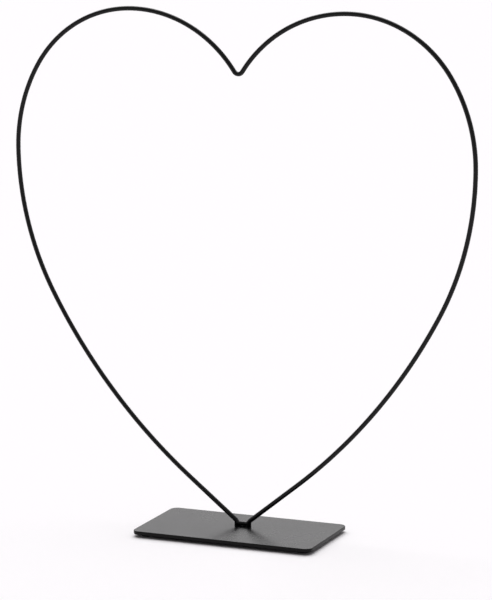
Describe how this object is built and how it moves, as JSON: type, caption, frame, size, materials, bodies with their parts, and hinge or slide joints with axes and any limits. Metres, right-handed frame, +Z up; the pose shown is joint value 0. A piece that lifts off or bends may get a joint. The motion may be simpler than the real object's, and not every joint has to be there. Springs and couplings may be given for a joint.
{
  "type": "heart frame on a base plate",
  "caption": "Open heart of bent round wire that plugs upright into a flat rectangular base plate on soft pads, a table-top frame for photos or decorations.",
  "frame": {"origin": "on the table, under the middle of the base plate", "axes": "+X along the plate to the right as seen from the front, +Y to the back, +Z up"},
  "size_m": [0.384, 0.078, 0.4083],
  "materials": {
    "plate": "semi-matt black powder coat on sheet steel",
    "wire": "semi-matt black powder coat on drawn steel wire",
    "pads": "matt black foam rubber"
  },
  "bodies": {
    "base": {"base_plate": "plate", "pad_front_left": "pads", "pad_front_right": "pads", "pad_rear_left": "pads", "pad_rear_right": "pads"},
    "heart": {"heart_wire": "wire", "cross_rung": "wire"}
  },
  "joints": [
    {"name": "heart_lift", "type": "slide", "parent": "base", "child": "heart", "axis": [0, 0, 1], "range_m": [0, 0.03]}
  ]
}
